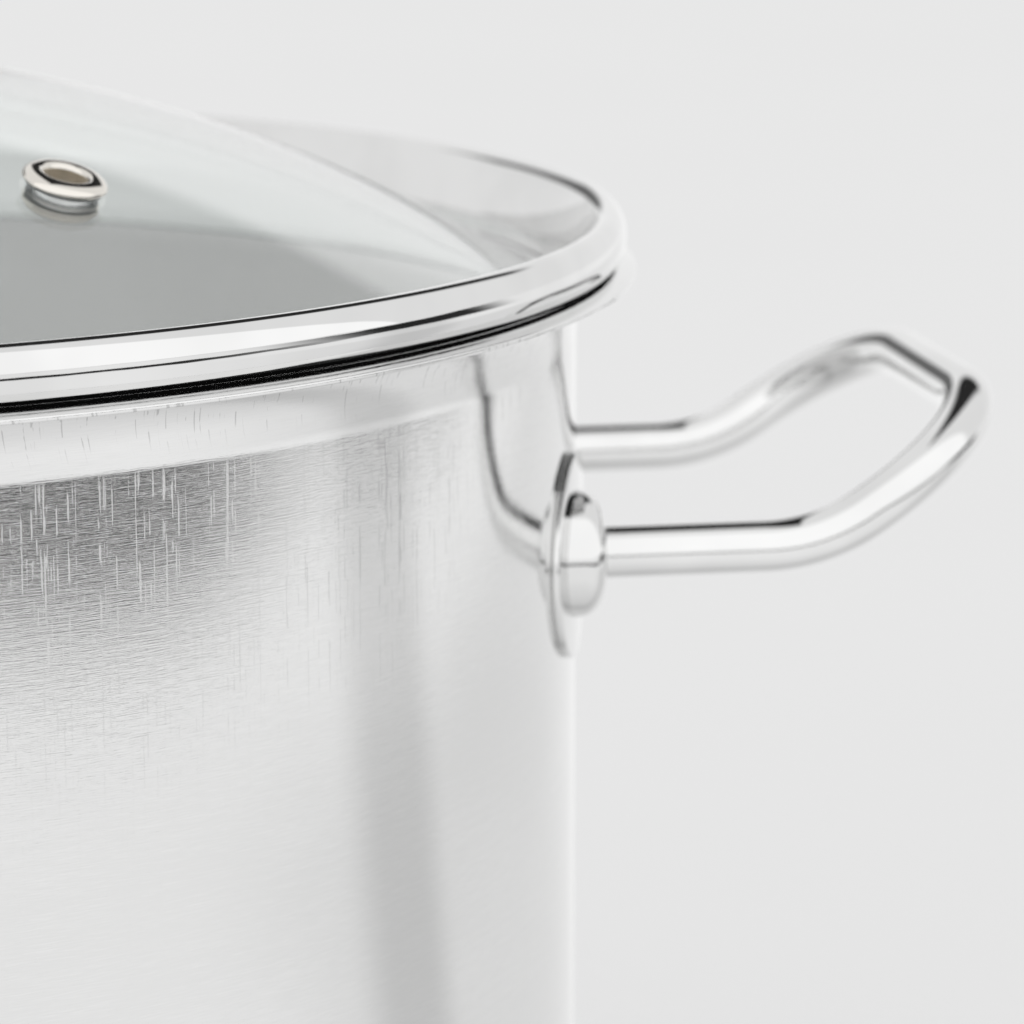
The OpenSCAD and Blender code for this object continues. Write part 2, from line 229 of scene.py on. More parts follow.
# ---------------------------------------------------------------- meshes
def piece(node, body, material, made, sharp=35, place=None):
    """A finished mesh that stands for a CAD node and rides on its body."""
    verts, faces = made
    name = f"{node.title()}_Visual"
    mesh = bpy.data.meshes.new(name)
    mesh.from_pydata([tuple(v) for v in verts], [], faces)
    bm = bmesh.new()
    bm.from_mesh(mesh)
    bmesh.ops.remove_doubles(bm, verts=bm.verts, dist=1e-7)
    bmesh.ops.recalc_face_normals(bm, faces=bm.faces)
    bm.to_mesh(mesh)
    bm.free()
    if place:
        mesh.transform(place)
    mesh.shade_smooth()
    mesh.set_sharp_from_angle(angle=math.radians(sharp))
    mesh.materials.append(material)
    obj = bpy.data.objects.new(name, mesh)
    bpy.context.scene.collection.objects.link(obj)
    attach(obj, body)
    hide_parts(node)
    return obj


def turned(loop, around=AROUND):
    """Vertices and faces of a closed outline of (radius, height) points turned about +Z."""
    verts, faces = [], []
    for r, z in loop:
        for k in range(around):
            a = 2 * math.pi * k / around
            verts.append((r * math.cos(a), r * math.sin(a), z))
    rows = len(loop)
    for i in range(rows):
        a, b = i * around, (i + 1) % rows * around
        on_axis, next_on_axis = loop[i][0] < 1e-9, loop[(i + 1) % rows][0] < 1e-9
        if on_axis and next_on_axis:
            continue
        for k in range(around):
            n = (k + 1) % around
            if on_axis:
                faces.append((a, b + n, b + k))
            elif next_on_axis:
                faces.append((a + k, a + n, b))
            else:
                faces.append((a + k, a + n, b + n, b + k))
    return verts, faces


def tube(path, r, sides=72):
    """Vertices and faces of a round rod along a path, with flat ends."""
    points = [Vector(p) for p in path]
    verts, faces = [], []
    side = Vector((0, 0, 1))
    for i, p in enumerate(points):
        ahead = points[min(i + 1, len(points) - 1)] - points[max(i - 1, 0)]
        ahead.normalize()
        side = (side - ahead * side.dot(ahead)).normalized()
        up = ahead.cross(side)
        for k in range(sides):
            a = 2 * math.pi * k / sides
            verts.append(p + (side * math.cos(a) + up * math.sin(a)) * r)
    for i in range(len(points) - 1):
        for k in range(sides):
            n = (k + 1) % sides
            a, b = i * sides, (i + 1) * sides
            faces.append((a + k, a + n, b + n, b + k))
    faces.append(tuple(range(sides)))
    last = (len(points) - 1) * sides
    faces.append(tuple(last + k for k in reversed(range(sides))))
    return verts, faces


# ---------------------------------------------------------------- material nodes
def put(tree, kind, feeds=None, **settings):
    """Adds a node. A feed is a value or another node's output."""
    made = tree.nodes.new(kind)
    for key, value in settings.items():
        setattr(made, key, value)
    for key, value in (feeds or {}).items():
        if isinstance(value, bpy.types.NodeSocket):
            tree.links.new(value, made.inputs[key])
        else:
            made.inputs[key].default_value = value
    return made


def sums(tree, kind, *values):
    """The output of a maths node."""
    return put(tree, "ShaderNodeMath", dict(enumerate(values)), operation=kind).outputs[0]


def product(tree, first, *others):
    """All the values multiplied together."""
    for other in others:
        first = sums(tree, "MULTIPLY", first, other)
    return first


def split(tree, vector):
    """A vector's X, Y and Z."""
    return put(tree, "ShaderNodeSeparateXYZ", {0: vector}).outputs


def flat_distance(tree, x, y):
    """The distance from the axis, seen from above."""
    return sums(tree, "SQRT", sums(tree, "ADD", product(tree, x, x), product(tree, y, y)))


def remap(tree, value, low, high, to_low, to_high, smooth=True):
    """The value carried from the range low..high to the range to_low..to_high, and held beyond it."""
    made = put(tree, "ShaderNodeMapRange", {
        "Value": value, "From Min": low, "From Max": high, "To Min": to_low, "To Max": to_high,
    }, interpolation_type="SMOOTHSTEP" if smooth else "LINEAR")
    return made.outputs["Result"]


def window(tree, value, rise, fall):
    """A mask that goes from 0 to 1 over the range rise and back to 0 over the range fall."""
    return product(tree, remap(tree, value, *rise, 0, 1), remap(tree, value, *fall, 1, 0))


def dimmed(tree, value, mask, share):
    """A value lowered by a share of itself where the mask is 1."""
    return product(tree, value, sums(tree, "MULTIPLY_ADD", mask, -share, 1.0))


def noise(tree, place, scales, detail=3.0, rough=0.55):
    """Noise whose grain is stretched: scales are cycles per metre along x, y and z."""
    stretched = put(tree, "ShaderNodeVectorMath", {0: place, 1: scales}, operation="MULTIPLY")
    made = put(tree, "ShaderNodeTexNoise", {
        "Vector": stretched.outputs[0], "Scale": 1.0, "Detail": detail, "Roughness": rough,
    })
    return made.outputs["Fac"]


def bumped(tree, height, depth, strength=1.0):
    """A surface normal tilted by a height, whose full range is depth in metres."""
    return put(tree, "ShaderNodeBump", {"Strength": strength, "Distance": depth, "Height": height}).outputs[0]


def tinted(tree, value, dark, light):
    """A colour between dark and light. Each is three numbers or another node's output."""
    ends = [c if isinstance(c, bpy.types.NodeSocket) else (*c, 1) for c in (dark, light)]
    mix = put(tree, "ShaderNodeMix", {"Factor": value, "A": ends[0], "B": ends[1]}, data_type="RGBA")
    return mix.outputs["Result"]


def mixed(tree, mask, shader, other):
    """The shader where the mask is 0, and the other one where it is 1."""
    return put(tree, "ShaderNodeMixShader", {0: mask, 1: shader, 2: other}).outputs[0]


def new_material(name):
    """An empty material, its node tree, its output and its place on the object."""
    material = bpy.data.materials.new(name)
    material.use_nodes = True
    tree = material.node_tree
    tree.nodes.clear()
    output = put(tree, "ShaderNodeOutputMaterial")
    place = put(tree, "ShaderNodeTexCoord").outputs["Object"]
    return material, tree, output, place


def wrapped(tree, place, lean=0.0):
    """Distance round the pot and distance along its profile, for marks that follow the turning."""
    x, y, z = split(tree, place)
    around = product(tree, sums(tree, "ARCTAN2", y, x), INNER_R)
    around = sums(tree, "MULTIPLY_ADD", z, lean, around)
    along = sums(tree, "ADD", z, flat_distance(tree, x, y))
    return put(tree, "ShaderNodeCombineXYZ", {"X": around, "Y": along}).outputs[0]


# ---------------------------------------------------------------- materials
# The gap between the rim's flange and the lid's bead: its middle above the rim, and half its height
GAP_MIDDLE = 0.3 * MM
GAP_HALF = 1.6 * MM
GAP_INNER_R = INNER_R + 4 * MM
# Emission strength of the painted near-black shade in the gap under the bead
GAP_PAINTED_SHADE = 0.004
# Emission strength of the painted glow that stands in for deep reflections
LATE_PAINTED_GLOW = 0.72


def painted_glow_and_gap_shade(tree, shader, place):
    """Late reflections become a painted even glow; the gap under the bead gets painted near-black shade."""
    depth = put(tree, "ShaderNodeLightPath").outputs["Ray Depth"]
    x, y, z = split(tree, place)
    level = sums(tree, "COMPARE", sums(tree, "SUBTRACT", z, RIM_Z), GAP_MIDDLE, GAP_HALF)
    in_gap = product(tree, sums(tree, "GREATER_THAN", flat_distance(tree, x, y), GAP_INNER_R), level)
    # Where the painted gap shade shows: in the gap, seen after two bounces or more
    gap_shade_mask = product(tree, in_gap, sums(tree, "GREATER_THAN", depth, 1.5))
    # A painted even glow in place of reflections four bounces deep or more, as in the pot, and painted
    # near-black shade
    glow = put(tree, "ShaderNodeEmission", {"Strength": LATE_PAINTED_GLOW}).outputs[0]
    dark = put(tree, "ShaderNodeEmission", {"Strength": GAP_PAINTED_SHADE}).outputs[0]
    lit = mixed(tree, sums(tree, "GREATER_THAN", depth, 3.5), shader, glow)
    return mixed(tree, gap_shade_mask, lit, dark)


def steel(tree, output, place, colour, gloss, normal, more=None):
    """Joins up a bright steel surface."""
    shader = put(tree, "ShaderNodeBsdfPrincipled", {
        "Base Color": colour, "Metallic": 1.0, "Roughness": gloss, "Normal": normal, **(more or {}),
    })
    tree.links.new(painted_glow_and_gap_shade(tree, shader.outputs[0], place), output.inputs["Surface"])


def marks(tree, skin, across, along, length, peak):
    """Thin, short scratches: peaks of a fine stretched noise, whose scales are cycles per metre."""
    line = remap(tree, noise(tree, skin, (across, along, 1), 1, 0.4), peak, peak + 0.08, 0, 1)
    broken = remap(tree, noise(tree, skin, (across * 0.6, length, 1), 1, 0.5), 0.48, 0.56, 0, 1)
    return product(tree, line, broken)


def wall_scratches(tree, skin, z):
    """Upright scratches below the rim's flare, which thin out down the wall."""
    scratches = marks(tree, skin, across=2900, along=12, length=200, peak=0.55)
    below = remap(tree, z, RIM_Z - 13 * MM, RIM_Z - 10 * MM, 1, 0)
    faint = remap(tree, z, RIM_Z - 60 * MM, RIM_Z - 35 * MM, 0.2, 1)
    return product(tree, scratches, below, faint)


def flare_ticks(tree, place, z):
    """Slanted ticks on the flare, where the sheet faces outwards."""
    facing = put(tree, "ShaderNodeNewGeometry").outputs["Normal"]
    outwards = remap(tree, split(tree, facing)["Z"], 0.1, 0.3, 1, 0)
    ticks = marks(tree, wrapped(tree, place, lean=0.35), across=2300, along=40, length=300, peak=0.58)
    return product(tree, ticks, remap(tree, z, RIM_Z - 10 * MM, RIM_Z - 5 * MM, 0, 1), outwards)


def brushed(name, dark, light, rough, spread, grain, grain_depth, worn=False):
    """Steel brushed round +Z: fine lines along the brushing, with scratches and ticks if worn."""
    material, tree, output, place = new_material(name)
    skin = wrapped(tree, place)
    fine = noise(tree, skin, (260, 5200 * grain, 1), 3, 0.6)
    broad = noise(tree, skin, (50, 1100 * grain, 1), 3, 0.6)
    cloud = noise(tree, place, (14, 14, 22), 3, 0.5)
    lines = sums(tree, "MULTIPLY_ADD", fine, 0.7, product(tree, broad, 0.3))
    tone = sums(tree, "MULTIPLY_ADD", cloud, 0.5, product(tree, lines, 0.5))
    colour = tinted(tree, remap(tree, tone, 0.38, 0.62, 0, 1), dark, light)
    gloss = remap(tree, tone, 0.3, 0.7, rough * 0.85, rough * 1.15, False)
    if worn:
        z = split(tree, place)["Z"]
        gloss = sums(tree, "MULTIPLY_ADD", wall_scratches(tree, skin, z), 0.11, gloss)
        colour = tinted(tree, product(tree, flare_ticks(tree, place, z), 0.4), colour, (0.2, 0.2, 0.2))
    tangent = put(tree, "ShaderNodeTangent", direction_type="RADIAL", axis="Z").outputs[0]
    steel(tree, output, place, colour, gloss, bumped(tree, lines, grain_depth), {
        "Anisotropic": spread, "Anisotropic Rotation": 0.25, "Tangent": tangent,
    })
    return material


def polished(name, dark, light, rough, drawn=0.0):
    """Mirror-bright steel: faintly wavy and scuffed, with lines round the lid of the depth drawn."""
    material, tree, output, place = new_material(name)
    wave_depth = 1.8e-5
    wavy = noise(tree, place, (70, 70, 70), 2, 0.5)
    cloud = noise(tree, place, (30, 30, 30), 3, 0.6)
    scuffs = remap(tree, noise(tree, place, (900, 2600, 700), 3, 0.7), 0.6, 0.8, 0, 1)
    height = sums(tree, "MULTIPLY_ADD", scuffs, -0.01, wavy)
    if drawn:
        streaks = noise(tree, wrapped(tree, place), (70, 1600, 1), 2, 0.5)
        height = sums(tree, "MULTIPLY_ADD", streaks, drawn / wave_depth, height)
    colour = tinted(tree, remap(tree, cloud, 0.35, 0.65, 0, 1), dark, light)
    gloss = remap(tree, cloud, 0.3, 0.7, rough * 0.7, rough * 1.3, False)
    gloss = sums(tree, "MULTIPLY_ADD", scuffs, 0.025, gloss)
    steel(tree, output, place, colour, gloss, bumped(tree, height, wave_depth))
    return material


def cast_metal(name, dark, light, rough):
    """Plain satin metal for the parts out of sight."""
    material, tree, output, place = new_material(name)
    grain = noise(tree, place, (900, 900, 900), 4, 0.6)
    cloud = noise(tree, place, (40, 40, 40), 3, 0.5)
    shader = put(tree, "ShaderNodeBsdfPrincipled", {
        "Base Color": tinted(tree, cloud, dark, light),
        "Metallic": 1.0,
        "Roughness": remap(tree, grain, 0.3, 0.7, rough * 0.8, rough * 1.2, False),
        "Normal": bumped(tree, grain, 6e-6, 0.6),
    })
    tree.links.new(shader.outputs[0], output.inputs["Surface"])
    return material


def rubber(name, dark, light):
    """Soft matt silicone with a faint bloom."""
    material, tree, output, place = new_material(name)
    grain = noise(tree, place, (2200, 2200, 2200), 3, 0.6)
    cloud = noise(tree, place, (120, 120, 120), 3, 0.5)
    shader = put(tree, "ShaderNodeBsdfPrincipled", {
        "Base Color": tinted(tree, cloud, dark, light),
        "Roughness": remap(tree, grain, 0.3, 0.7, 0.42, 0.62, False),
        "Subsurface Weight": 0.15,
        "Subsurface Radius": (1 * MM, 1 * MM, 1 * MM),
        "Normal": bumped(tree, grain, 1e-5, 0.5),
    })
    tree.links.new(shader.outputs[0], output.inputs["Surface"])
    return material


def clear_glass(name, tint, smears):
    """Clear tempered glass that lets light through to the pot, with faint smears."""
    material, tree, output, place = new_material(name)
    cloud = noise(tree, place, (26, 26, 26), 4, 0.6)
    wavy = noise(tree, place, (9, 9, 9), 2, 0.5)
    shader = put(tree, "ShaderNodeBsdfPrincipled", {
        "Base Color": (*tint, 1),
        "Roughness": remap(tree, cloud, 0.5, 0.75, 0.0, smears, False),
        "IOR": 1.5,
        "Transmission Weight": 1.0,
        "Normal": bumped(tree, wavy, 2e-5),
    })
    clear = put(tree, "ShaderNodeBsdfTransparent", {"Color": (*[0.97 * c for c in tint], 1)})
    shadow = put(tree, "ShaderNodeLightPath").outputs["Is Shadow Ray"]
    tree.links.new(mixed(tree, shadow, shader.outputs[0], clear.outputs[0]), output.inputs["Surface"])
    return material


WALL_STEEL = brushed("Brushed_Steel", (0.73, 0.73, 0.727), (0.78, 0.78, 0.777),
                     rough=0.065, spread=0.9, grain=1.0, grain_depth=1.1e-5, worn=True)
BASE_STEEL = brushed("Base_Steel", (0.66, 0.66, 0.655), (0.76, 0.76, 0.755),
                     rough=0.3, spread=0.7, grain=0.8, grain_depth=5e-6)
KNOB_STEEL = brushed("Knob_Steel", (0.68, 0.68, 0.677), (0.76, 0.76, 0.757),
                     rough=0.16, spread=0.6, grain=1.4, grain_depth=4e-6)
HANDLE_STEEL = polished("Polished_Steel", (0.71, 0.71, 0.707), (0.77, 0.77, 0.767), rough=0.06)
BAND_STEEL = polished("Band_Steel", (0.70, 0.70, 0.697), (0.76, 0.76, 0.757), rough=0.045, drawn=5e-6)
VENT_METAL = polished("Vent_Nickel", (0.74, 0.71, 0.66), (0.84, 0.81, 0.76), rough=0.08)
CORE_METAL = cast_metal("Core_Aluminium", (0.70, 0.70, 0.70), (0.80, 0.80, 0.80), rough=0.4)
FASTENER_METAL = cast_metal("Fastener_Steel", (0.62, 0.62, 0.61), (0.72, 0.72, 0.71), rough=0.3)
SILICONE = rubber("Silicone", (0.22, 0.23, 0.23), (0.34, 0.35, 0.35))
GLASS = clear_glass("Clear_Glass", (0.96, 0.985, 0.975), smears=0.02)

for node_name, material in (
    ("base_core", CORE_METAL),
    ("lid_rim_seal", SILICONE),
    ("vent_grommet", SILICONE),
    ("vent_washer", VENT_METAL),
    ("knob_upper_gasket", SILICONE),
    ("knob_lower_gasket", SILICONE),
    ("knob_washer", FASTENER_METAL),
    ("knob_screw", FASTENER_METAL),
):
    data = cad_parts[node_name].data
    data.materials.clear()
    data.materials.append(material)

# ---------------------------------------------------------------- pot shell
def pot_shell():
    """The drawn wall, from the middle of its bottom to the edge of its turned-out rim."""
    mid_r, mid_z = INNER_R + WALL_T / 2, BASE_H + FIT + WALL_T / 2
    corner_r = CORNER_R - WALL_T / 2
    corner_c = (mid_r - corner_r, mid_z + corner_r)
    crest_end = arc(CREST_C, CREST_R - WALL_T / 2, 90, 90 - RIM_SLOPE, 1)[-1]
    slope = math.radians(RIM_SLOPE)
    edge_r = INNER_R + RIM_OUT - WALL_T / 2 * math.sin(slope)
    edge = (edge_r, crest_end[1] - (edge_r - crest_end[0]) * math.tan(slope))
    path = (
        [(corner_c[0] * i / 6, mid_z) for i in range(6)]
        + arc(corner_c, corner_r, -90, 0, 20)
        + [(mid_r, corner_c[1] + (FLARE_C[1] - corner_c[1]) * i / 24) for i in range(1, 24)]
        + arc(FLARE_C, FLARE_R - WALL_T / 2, 180, 180 - FLARE_ANGLE, 26)
        + arc(CREST_C, CREST_R - WALL_T / 2, 180 - FLARE_ANGLE, 90 - RIM_SLOPE, 18, 1)
        + [edge]
    )
    piece("pot_shell", "pot", WALL_STEEL, turned(sheet(path, WALL_T, soft_end=WALL_SOFT)))


# ---------------------------------------------------------------- base cap
def base_cap():
    """The pressed cap that closes the base."""
    mid_r, mid_z = CAP_OUT_R - CAP_T / 2, CAP_T / 2
    corner_r = CAP_CORNER_R - CAP_T / 2
    corner_c = (mid_r - corner_r, mid_z + corner_r)
    path = (
        [(corner_c[0] * i / 5, mid_z) for i in range(5)]
        + arc(corner_c, corner_r, -90, 0, 12)
        + [(mid_r, BASE_H)]
    )
    piece("base_cap", "pot", BASE_STEEL, turned(sheet(path, CAP_T, soft_end=CAP_SOFT)))


# ---------------------------------------------------------------- handles
MIRROR = Matrix.Scale(-1, 4, Vector((1, 0, 0)))
BEND = math.radians(BEND_ANGLE)
BEND_TANGENT = BEND_R * math.tan(BEND / 2)
ROD_START = math.sqrt(PLATE_OUT_R ** 2 - (LEG_Y - ROD_R) ** 2) + FIT
RISE = Vector((math.cos(BEND), 0, math.sin(BEND)))


def on_slope(along, y):
    """A point in the raised loop's plane: along is measured from the legs' bend."""
    return Vector((BEND_X, y, LEG_Z)) + RISE * along


def half_rod():
    """The rod's centre from the -Y leg to the middle of the cross-piece."""
    bend_start = BEND_X - BEND_TANGENT
    slope_run = SLOPE_LEN - GRIP_R - BEND_TANGENT
    points = [Vector((ROD_START + (bend_start - ROD_START) * i / 8, -LEG_Y, LEG_Z)) for i in range(9)]
    for i in range(1, 29):
        a = BEND * i / 28
        x, z = bend_start + BEND_R * math.sin(a), LEG_Z + BEND_R * (1 - math.cos(a))
        points.append(Vector((x, -LEG_Y, z)))
    points += [on_slope(BEND_TANGENT + slope_run * i / 6, -LEG_Y) for i in range(1, 7)]
    for i in range(1, 49):
        a = math.pi / 2 * i / 48
        along = SLOPE_LEN - GRIP_R + GRIP_R * math.sin(a)
        points.append(on_slope(along, -LEG_Y + GRIP_R * (1 - math.cos(a))))
    points += [on_slope(SLOPE_LEN, (LEG_Y - GRIP_R) * (i / 6 - 1)) for i in range(1, 7)]
    return points


def full_rod():
    """The whole rod's centre, from leg to leg."""
    half = half_rod()
    return half + [Vector((p.x, -p.y, p.z)) for p in reversed(half[:-1])]


def collar_mesh(side, around=120):
    """The domed collar round one leg, whose back follows the bent plate."""
    face = COLLAR_FACE_X
    back = PLATE_OUT_R * math.cos(PLATE_TURN) - COLLAR_R
    length = face - COLLAR_ROUND - back
    swept = COLLAR_ROUND * math.pi / 2
    flat = COLLAR_R - COLLAR_ROUND - ROD_R - FIT
    total = length + swept + flat

    def at(s):
        if s < length:
            return COLLAR_R, back + s
        if s < length + swept:
            a = (s - length) / COLLAR_ROUND
            return COLLAR_R - COLLAR_ROUND * (1 - math.cos(a)), face - COLLAR_ROUND * (1 - math.sin(a))
        return COLLAR_R - COLLAR_ROUND - (s - length - swept), face

    def outside(s, a):
        r, x = at(s)
        y = side * LEG_Y + r * math.cos(a)
        return x * x + y * y > (PLATE_OUT_R + FIT) ** 2

    rows = 40
    verts, faces = [], []
    for k in range(around):
        a = 2 * math.pi * k / around
        low, high = 0.0, total
        for _ in range(40):
            middle = (low + high) / 2
            low, high = (low, middle) if outside(middle, a) else (middle, high)
        for i in range(rows + 1):
            r, x = at(high + (total - high) * i / rows)
            verts.append((x, side * LEG_Y + r * math.cos(a), LEG_Z + r * math.sin(a)))
        bore = ROD_R + FIT
        y = side * LEG_Y + bore * math.cos(a)
        verts.append((math.sqrt((PLATE_OUT_R + FIT) ** 2 - y * y), y, LEG_Z + bore * math.sin(a)))
    per = rows + 2
    for k in range(around):
        a, b = k * per, (k + 1) % around * per
        for i in range(per):
            n = (i + 1) % per
            faces.append((a + i, b + i, b + n, a + n))
    return verts, faces


def plate_mesh(side, around=144):
    """The round mounting plate bent to the wall, with a softened edge."""
    soft = PLATE_SOFT
    rows = [(s / 9 * (PLATE_R - soft), PLATE_OUT_R) for s in range(10)]
    rows += [(PLATE_R - soft + soft * math.sin(a), PLATE_OUT_R - soft + soft * math.cos(a))
             for a in (math.radians(15 * i) for i in range(1, 7))]
    rows += [(r, PLATE_IN_R + PLATE_OUT_R - out) for r, out in reversed(rows)]
    verts, faces = [], []
    for r, out in rows:
        for k in range(around):
            a = 2 * math.pi * k / around
            turn = math.asin(r * math.cos(a) / out) + side * PLATE_TURN
            verts.append((out * math.cos(turn), out * math.sin(turn), LEG_Z + r * math.sin(a)))
    for i in range(len(rows) - 1):
        a, b = i * around, (i + 1) * around
        for k in range(around):
            n = (k + 1) % around
            if rows[i][0] < 1e-9:
                faces.append((a, b + k, b + n))
            elif rows[i + 1][0] < 1e-9:
                faces.append((a + k, b, a + n))
            else:
                faces.append((a + k, b + k, b + n, a + n))
    return verts, faces


def handle(hand):
    """One handle's pieces. The left ones are the right ones mirrored."""
    def add(part, made):
        verts, faces = made
        if hand == "left":
            verts = [MIRROR @ Vector(v) for v in verts]
        piece(f"{hand}_handle_{part}", "pot", HANDLE_STEEL, (verts, faces))

    add("bar", tube(full_rod(), ROD_R))
    for end, side in (("front", -1), ("rear", 1)):
        add(f"{end}_collar", collar_mesh(side))
        add(f"{end}_plate", plate_mesh(side))


# ---------------------------------------------------------------- lid band
def bead(t):
    """A point on the bead's middle line: t falls from 90 at its crest to -90 at its foot."""
    a = math.radians(t)
    reach, half_h = BEAD_OUT - BAND_T / 2, (BEAD_H - BAND_T) / 2
    return BEAD_C[0] + reach * math.cos(a), BEAD_C[1] + half_h * math.sin(a)


def lid_rim_band():
    """The folded strip: lip, fold, inner wall, bead, seat on the rim, and the channel for the seal."""
    lip_radii = [INNER_R - LIP_REACH + LIP_LEN * i / 4 for i in range(5)]
    lip = [(r, dome_z(r, SEAT_GAP + BAND_T / 2)) for r in lip_radii]
    wall_low = (INNER_R + 0.75 * MM, RIM_Z - 4.58 * MM)
    fold_low, fold_high = (INNER_R - 0.1 * MM, RIM_Z - 5.6 * MM), (INNER_R + 0.5 * MM, RIM_Z - 5.2 * MM)
    fold = filleted([lip[-1], fold_low, fold_high, wall_low], 0.35 * MM, 4)
    turn_r = SHOULDER_R - BAND_T / 2
    shoulder = arc((BEAD_C[0], bead(90)[1] - turn_r), turn_r, 160, 90, 12)
    run, rise = shoulder[0][0] - wall_low[0], shoulder[0][1] - wall_low[1]
    inner_wall = [(wall_low[0] + run * (i / 14) ** 1.5, wall_low[1] + rise * i / 14) for i in range(14)]
    outer = [bead(90 - 2.25 * i) for i in range(1, 81)]
    seat = arc(CREST_C, CREST_R + SEAT_OFF + BAND_T / 2, 114, 130, 6)
    leg = arc(FLARE_C, FLARE_R + LEG_OFF + BAND_T / 2, 134, 156, 8)
    under_off = -GLASS_T - SEAL_T - SEAL_GAPS - BAND_T / 2
    channel_top, channel_low = (CHANNEL_R, RIM_Z - 8.9 * MM), (CHANNEL_R, dome_z(CHANNEL_R, under_off))
    foot_end = (INNER_R - FOOT_REACH, dome_z(INNER_R - FOOT_REACH, under_off))
    foot = filleted([leg[-1], channel_top, channel_low, foot_end], 0.7 * MM, 6)
    path = lip[:-1] + fold[:-1] + inner_wall + shoulder + outer + seat + leg[:-1] + foot
    outline = sheet(path, BAND_T, soft_start=BAND_SOFT, soft_end=BAND_SOFT)
    piece("lid_rim_band", "lid", BAND_STEEL, turned(outline), sharp=50)


# ---------------------------------------------------------------- lid glass
VENT_PLACE = (
    Matrix.Translation((0, 0, DOME_CZ))
    @ Matrix.Rotation(math.radians(VENT_ANGLE), 4, "Z")
    @ Matrix.Rotation(math.radians(VENT_TILT), 4, "Y")
    @ Matrix.Translation((0, 0, DOME_R))
)


def dome_rows(off, inner, outer, steps):
    """Points along the dome, lifted by off, from radius inner to radius outer."""
    r = DOME_R + off
    start, end = math.asin(inner / r), math.asin(outer / r)
    turns = [start + (end - start) * i / steps for i in range(steps + 1)]
    return [(r * math.sin(a), DOME_CZ + r * math.cos(a)) for a in turns]


def glass_edge(steps=8):
    """The glass's rounded outer edge, from its top face to its underside."""
    edge_r = GLASS_EDGE_R - GLASS_SOFT
    top_z, low_z = dome_z(GLASS_EDGE_R, 0), dome_z(GLASS_EDGE_R, -GLASS_T)
    return (
        arc((edge_r, top_z - GLASS_SOFT * 0.85), GLASS_SOFT, 60, 0, steps)
        + arc((edge_r, low_z + GLASS_SOFT * 0.85), GLASS_SOFT, 0, -100, steps)
    )


def bore_vent_hole(glass):
    """Cuts the vent's hole, square to the dome."""
    mesh = bpy.data.meshes.new("Vent_Cutter")
    bm = bmesh.new()
    bmesh.ops.create_cone(bm, cap_ends=True, segments=96, radius1=VENT_HOLE_R, radius2=VENT_HOLE_R,
                          depth=5 * GLASS_T)
    bm.to_mesh(mesh)
    bm.free()
    mesh.transform(VENT_PLACE)
    cutter = bpy.data.objects.new("Vent_Cutter", mesh)
    bpy.context.scene.collection.objects.link(cutter)
    bore = glass.modifiers.new("Vent_Hole", "BOOLEAN")
    bore.operation = "DIFFERENCE"
    bore.solver = "EXACT"
    bore.object = cutter
    bpy.context.view_layer.update()
    cut = bpy.data.meshes.new_from_object(glass.evaluated_get(bpy.context.evaluated_depsgraph_get()))
    glass.modifiers.clear()
    glass.data = cut
    bpy.data.objects.remove(cutter)


def smooth_dome(mesh):
    """Gives the dome's two faces the exact normals of their spheres."""
    mesh.shade_smooth()
    mesh.set_sharp_from_angle(angle=math.radians(35))
    centre = Vector((0, 0, DOME_CZ))
    normals = [Vector(n.vector) for n in mesh.corner_normals]
    for face in mesh.polygons:
        facing = face.normal.dot((face.center - centre).normalized())
        if abs(facing) > 0.995:
            for k in face.loop_indices:
                spot = mesh.vertices[mesh.loops[k].vertex_index].co - centre
                normals[k] = spot.normalized() * math.copysign(1, facing)
    mesh.normals_split_custom_set(normals)


def lid_glass():
    """The glass dome with its rounded edge and the vent's hole."""
    top = dome_rows(0, KNOB_HOLE_R, GLASS_EDGE_R - 0.35 * MM, 90)
    under = dome_rows(-GLASS_T, KNOB_HOLE_R, GLASS_EDGE_R - 0.85 * MM, 60)
    glass = piece("lid_glass", "lid", GLASS, turned(top + glass_edge() + under[::-1]))
    bore_vent_hole(glass)
    smooth_dome(glass.data)


# ---------------------------------------------------------------- vent eyelet
def vent_eyelet():
    """The vent's crowned flange, its barrel through the glass and its spread end below."""
    flange_low = GROMMET_LIP + 2 * SEAT_GAP
    flange_top = flange_low + FLANGE_T
    crest_r = STEAM_R + MOUTH_ROUND
    crown = []
    for i in range(30):
        a = math.radians(3 * i)
        drop = FLANGE_CROWN * (1 - math.sin(a))
        crown.append((crest_r + (EYELET_R - crest_r) * math.cos(a), flange_top - drop))
    barrel_r, spread_r = STEAM_R + BARREL_T, STEAM_R + SPREAD_OUT
    spread_top = -GLASS_T - DISH_GAP - GROMMET_LIP - WASHER_T - 2 * SEAT_GAP
    spread_low = spread_top - SPREAD_T
    round_r = SPREAD_T / 2
    outline = (
        [(STEAM_R + 0.15 * MM, spread_low)]
        + arc((spread_r - round_r, spread_low + round_r), round_r, -90, 45, 6)
        + [(barrel_r, spread_top), (barrel_r, flange_low), (EYELET_R - 0.2 * MM, flange_low)]
        + crown
        + arc((crest_r, flange_top - MOUTH_ROUND), MOUTH_ROUND, 90, 180, 20)
        + [(STEAM_R, spread_low + 0.15 * MM)]
    )
    piece("vent_eyelet", "lid", VENT_METAL, turned(outline, 144), place=VENT_PLACE)


